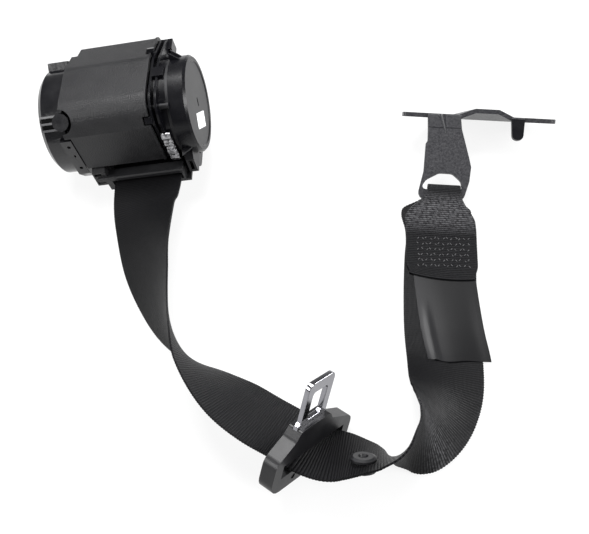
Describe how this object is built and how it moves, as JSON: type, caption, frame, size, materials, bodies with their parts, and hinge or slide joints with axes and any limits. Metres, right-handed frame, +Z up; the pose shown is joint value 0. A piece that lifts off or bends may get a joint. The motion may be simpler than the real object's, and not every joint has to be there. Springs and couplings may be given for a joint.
{
  "type": "seat belt retractor",
  "caption": "Seat belt retractor with spring and locking covers, paid-out black webbing, sliding chromed tongue, stop button and a sewn end loop on a bent steel anchor bracket.",
  "frame": {"origin": "centre of the bolt hole in the retractor's mounting lug", "axes": "+Z up from the table it lies on, +X towards the belt's right, +Y away from the belt's loop"},
  "size_m": [0.3477, 0.3021, 0.0904],
  "materials": {
    "zinc_steel": "satin zinc plate",
    "black_steel": "black electro-coat",
    "grained_plastic": "fine grain",
    "guide_plastic": "satin",
    "gloss_plastic": "semi gloss",
    "spring_steel": "oiled",
    "pale_plastic": "natural",
    "cast_alloy": "as cast",
    "webbing": "woven polyester",
    "bright_steel": "polished",
    "label_film": "satin film",
    "button_plastic": "satin",
    "tongue_plastic": "fine grain"
  },
  "bodies": {
    "retractor": {"frame": "zinc_steel", "tie_rod_front": "zinc_steel", "tie_rod_rear": "zinc_steel", "mounting_lug": "black_steel", "lug_rivets": "zinc_steel", "shell_cover": "grained_plastic", "belt_guide": "guide_plastic", "spring_collar": "gloss_plastic", "clip_strip": "zinc_steel", "spring_base": "gloss_plastic", "spring_cover": "gloss_plastic", "mainspring": "spring_steel", "mechanism_base": "pale_plastic", "mechanism_cover": "gloss_plastic", "cover_screws": "zinc_steel", "bush_left": "pale_plastic", "bush_right": "pale_plastic", "pawl_pin": "zinc_steel", "sensor_housing": "pale_plastic", "webbing": "webbing", "film_label": "label_film", "stop_button_front": "button_plastic", "stop_button_back": "button_plastic"},
    "spool": {"spool": "cast_alloy", "torsion_bar": "spring_steel", "webbing_roll": "webbing", "ratchet_wheel": "zinc_steel", "spring_arbor": "pale_plastic"},
    "inertia_disc": {"inertia_disc": "cast_alloy"},
    "clutch_ring": {"clutch_ring": "pale_plastic"},
    "pawl": {"locking_pawl": "zinc_steel"},
    "sensor_ball": {"sensor_ball": "bright_steel"},
    "sensor_lever": {"sensor_lever": "pale_plastic"},
    "tongue": {"tongue_plate": "bright_steel", "tongue_moulding": "tongue_plastic"},
    "anchor": {"anchor_bracket": "black_steel"}
  },
  "joints": [
    {"name": "spool_spin", "type": "hinge", "parent": "retractor", "child": "spool", "pos_m": [-0.03443, 0, 0.03563], "axis": [0.9816, 0, 0.1908], "range_deg": [-3870, 930]},
    {"name": "inertia_lag", "type": "hinge", "parent": "spool", "child": "inertia_disc", "pos_m": [-0.07468, 0, 0.0278], "axis": [0.9816, 0, 0.1908], "range_deg": [-20, 20], "stiffness_Nm_per_rad": 0.004},
    {"name": "pawl_swing", "type": "hinge", "parent": "retractor", "child": "pawl", "pos_m": [-0.06682, 0.026, 0.02933], "axis": [0.9816, 0, 0.1908], "range_deg": [0, 9], "stiffness_Nm_per_rad": 0.02},
    {"name": "clutch_turn", "type": "hinge", "parent": "retractor", "child": "clutch_ring", "pos_m": [-0.07468, 0, 0.0278], "axis": [0.9816, 0, 0.1908], "range_deg": [-1, 14]},
    {"name": "ball_roll", "type": "slide", "parent": "retractor", "child": "sensor_ball", "axis": [0, 1, 0], "range_m": [-0.0006, 0.0006]},
    {"name": "lever_lift", "type": "hinge", "parent": "retractor", "child": "sensor_lever", "pos_m": [-0.08029, 0.007, 0.0095], "axis": [0.9816, 0, 0.1908], "range_deg": [-8, 0]},
    {"name": "tongue_slide", "type": "slide", "parent": "retractor", "child": "tongue", "axis": [0.8812, -0.4727, 0.004], "range_m": [-0.004, 0.004]},
    {"name": "anchor_swing", "type": "hinge", "parent": "retractor", "child": "anchor", "pos_m": [0.16857, -0.043, -0.00093], "axis": [0.9976, -0.0698, 0], "range_deg": [-5, 40]}
  ],
  "couplings": [
    {"joint": "clutch_turn", "follows": "pawl_swing", "ratio": 1.4}
  ]
}
